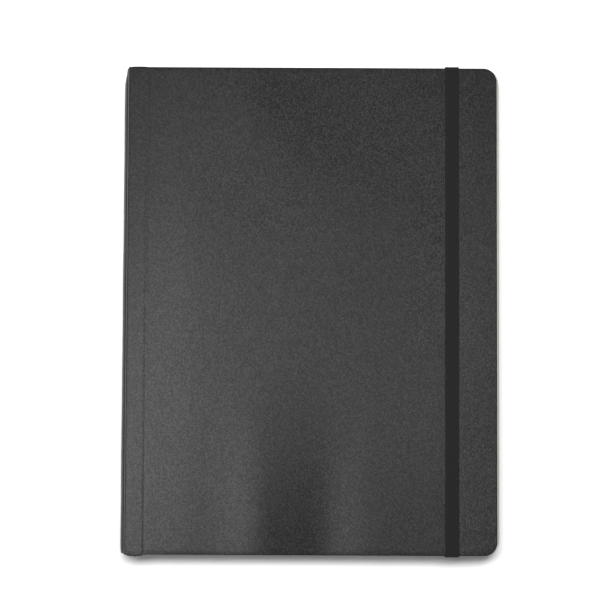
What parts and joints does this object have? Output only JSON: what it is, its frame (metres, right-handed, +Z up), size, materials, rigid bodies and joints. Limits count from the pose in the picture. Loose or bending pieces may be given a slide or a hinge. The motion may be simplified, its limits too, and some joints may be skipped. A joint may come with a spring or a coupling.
{
  "type": "sketchbook",
  "caption": "Soft-cover sketchbook with sewn sections, a leatherette cover that folds back, and a lengthwise elastic band that holds it shut.",
  "frame": {"origin": "middle of the closed book's footprint on the table, at the outer face of the back cover", "axes": "+Z up through the closed book, +Y towards its head, +X from the spine to the fore edge"},
  "size_m": [0.1944, 0.2514, 0.0142],
  "materials": {
    "leatherette": "fine grained black leatherette, satin",
    "card": "uncoated flexible card",
    "endpaper": "smooth uncoated endpaper",
    "page_paper": "uncoated drawing paper",
    "thread": "white waxed sewing thread",
    "lining_cloth": "open-weave spine lining",
    "elastic_webbing": "ribbed black elastic webbing"
  },
  "bodies": {
    "back_half": {"back_cover_skin": "leatherette", "back_board": "card", "back_hinge_card": "card", "back_endpaper": "endpaper", "signature_6": "page_paper", "sewing_thread_6": "thread", "spine_lining_6": "lining_cloth", "elastic_end_head": "elastic_webbing", "elastic_end_tail": "elastic_webbing"},
    "section_5": {"signature_5": "page_paper", "sewing_thread_5": "thread", "spine_lining_5": "lining_cloth"},
    "section_4": {"signature_4": "page_paper", "sewing_thread_4": "thread", "spine_lining_4": "lining_cloth"},
    "spine": {"spine_skin": "leatherette", "spine_card": "card"},
    "upper_half": {"front_hinge_skin": "leatherette", "front_hinge_card": "card", "front_flyleaf": "endpaper", "signature_1": "page_paper", "sewing_thread_1": "thread", "spine_lining_1": "lining_cloth"},
    "section_2": {"signature_2": "page_paper", "sewing_thread_2": "thread", "spine_lining_2": "lining_cloth"},
    "section_3": {"signature_3": "page_paper", "sewing_thread_3": "thread", "spine_lining_3": "lining_cloth"},
    "front_cover": {"front_cover_skin": "leatherette", "front_board": "card", "front_pastedown": "endpaper"},
    "elastic": {"elastic_band": "elastic_webbing"}
  },
  "joints": [
    {"name": "back_fold", "type": "hinge", "parent": "back_half", "child": "spine", "pos_m": [-0.0948, 0, 0.0027], "axis": [0, -1, 0], "range_deg": [0, 90]},
    {"name": "front_fold", "type": "hinge", "parent": "spine", "child": "upper_half", "pos_m": [-0.0948, 0, 0.0109], "axis": [0, -1, 0], "range_deg": [0, 90]},
    {"name": "section_5_shift", "type": "slide", "parent": "back_half", "child": "section_5", "axis": [-1, 0, 0], "range_m": [0, 0.0026]},
    {"name": "section_4_shift", "type": "slide", "parent": "back_half", "child": "section_4", "axis": [-1, 0, 0], "range_m": [0, 0.0037]},
    {"name": "section_2_shift", "type": "slide", "parent": "upper_half", "child": "section_2", "axis": [-1, 0, 0], "range_m": [0, 0.0026]},
    {"name": "section_3_shift", "type": "slide", "parent": "upper_half", "child": "section_3", "axis": [-1, 0, 0], "range_m": [0, 0.0037]},
    {"name": "front_cover_hinge", "type": "hinge", "parent": "upper_half", "child": "front_cover", "pos_m": [-0.0847, 0, 0.0137], "axis": [0, -1, 0], "range_deg": [0, 180]},
    {"name": "elastic_pull", "type": "slide", "parent": "back_half", "child": "elastic", "axis": [1, 0, 0], "range_m": [0, 0.031]}
  ],
  "couplings": [
    {"joint": "front_fold", "follows": "back_fold", "ratio": 1},
    {"joint": "section_5_shift", "follows": "back_fold", "m_per_rad": 0.0016552},
    {"joint": "section_4_shift", "follows": "back_fold", "m_per_rad": 0.0023555},
    {"joint": "section_2_shift", "follows": "back_fold", "m_per_rad": 0.0016552},
    {"joint": "section_3_shift", "follows": "back_fold", "m_per_rad": 0.0023555}
  ]
}
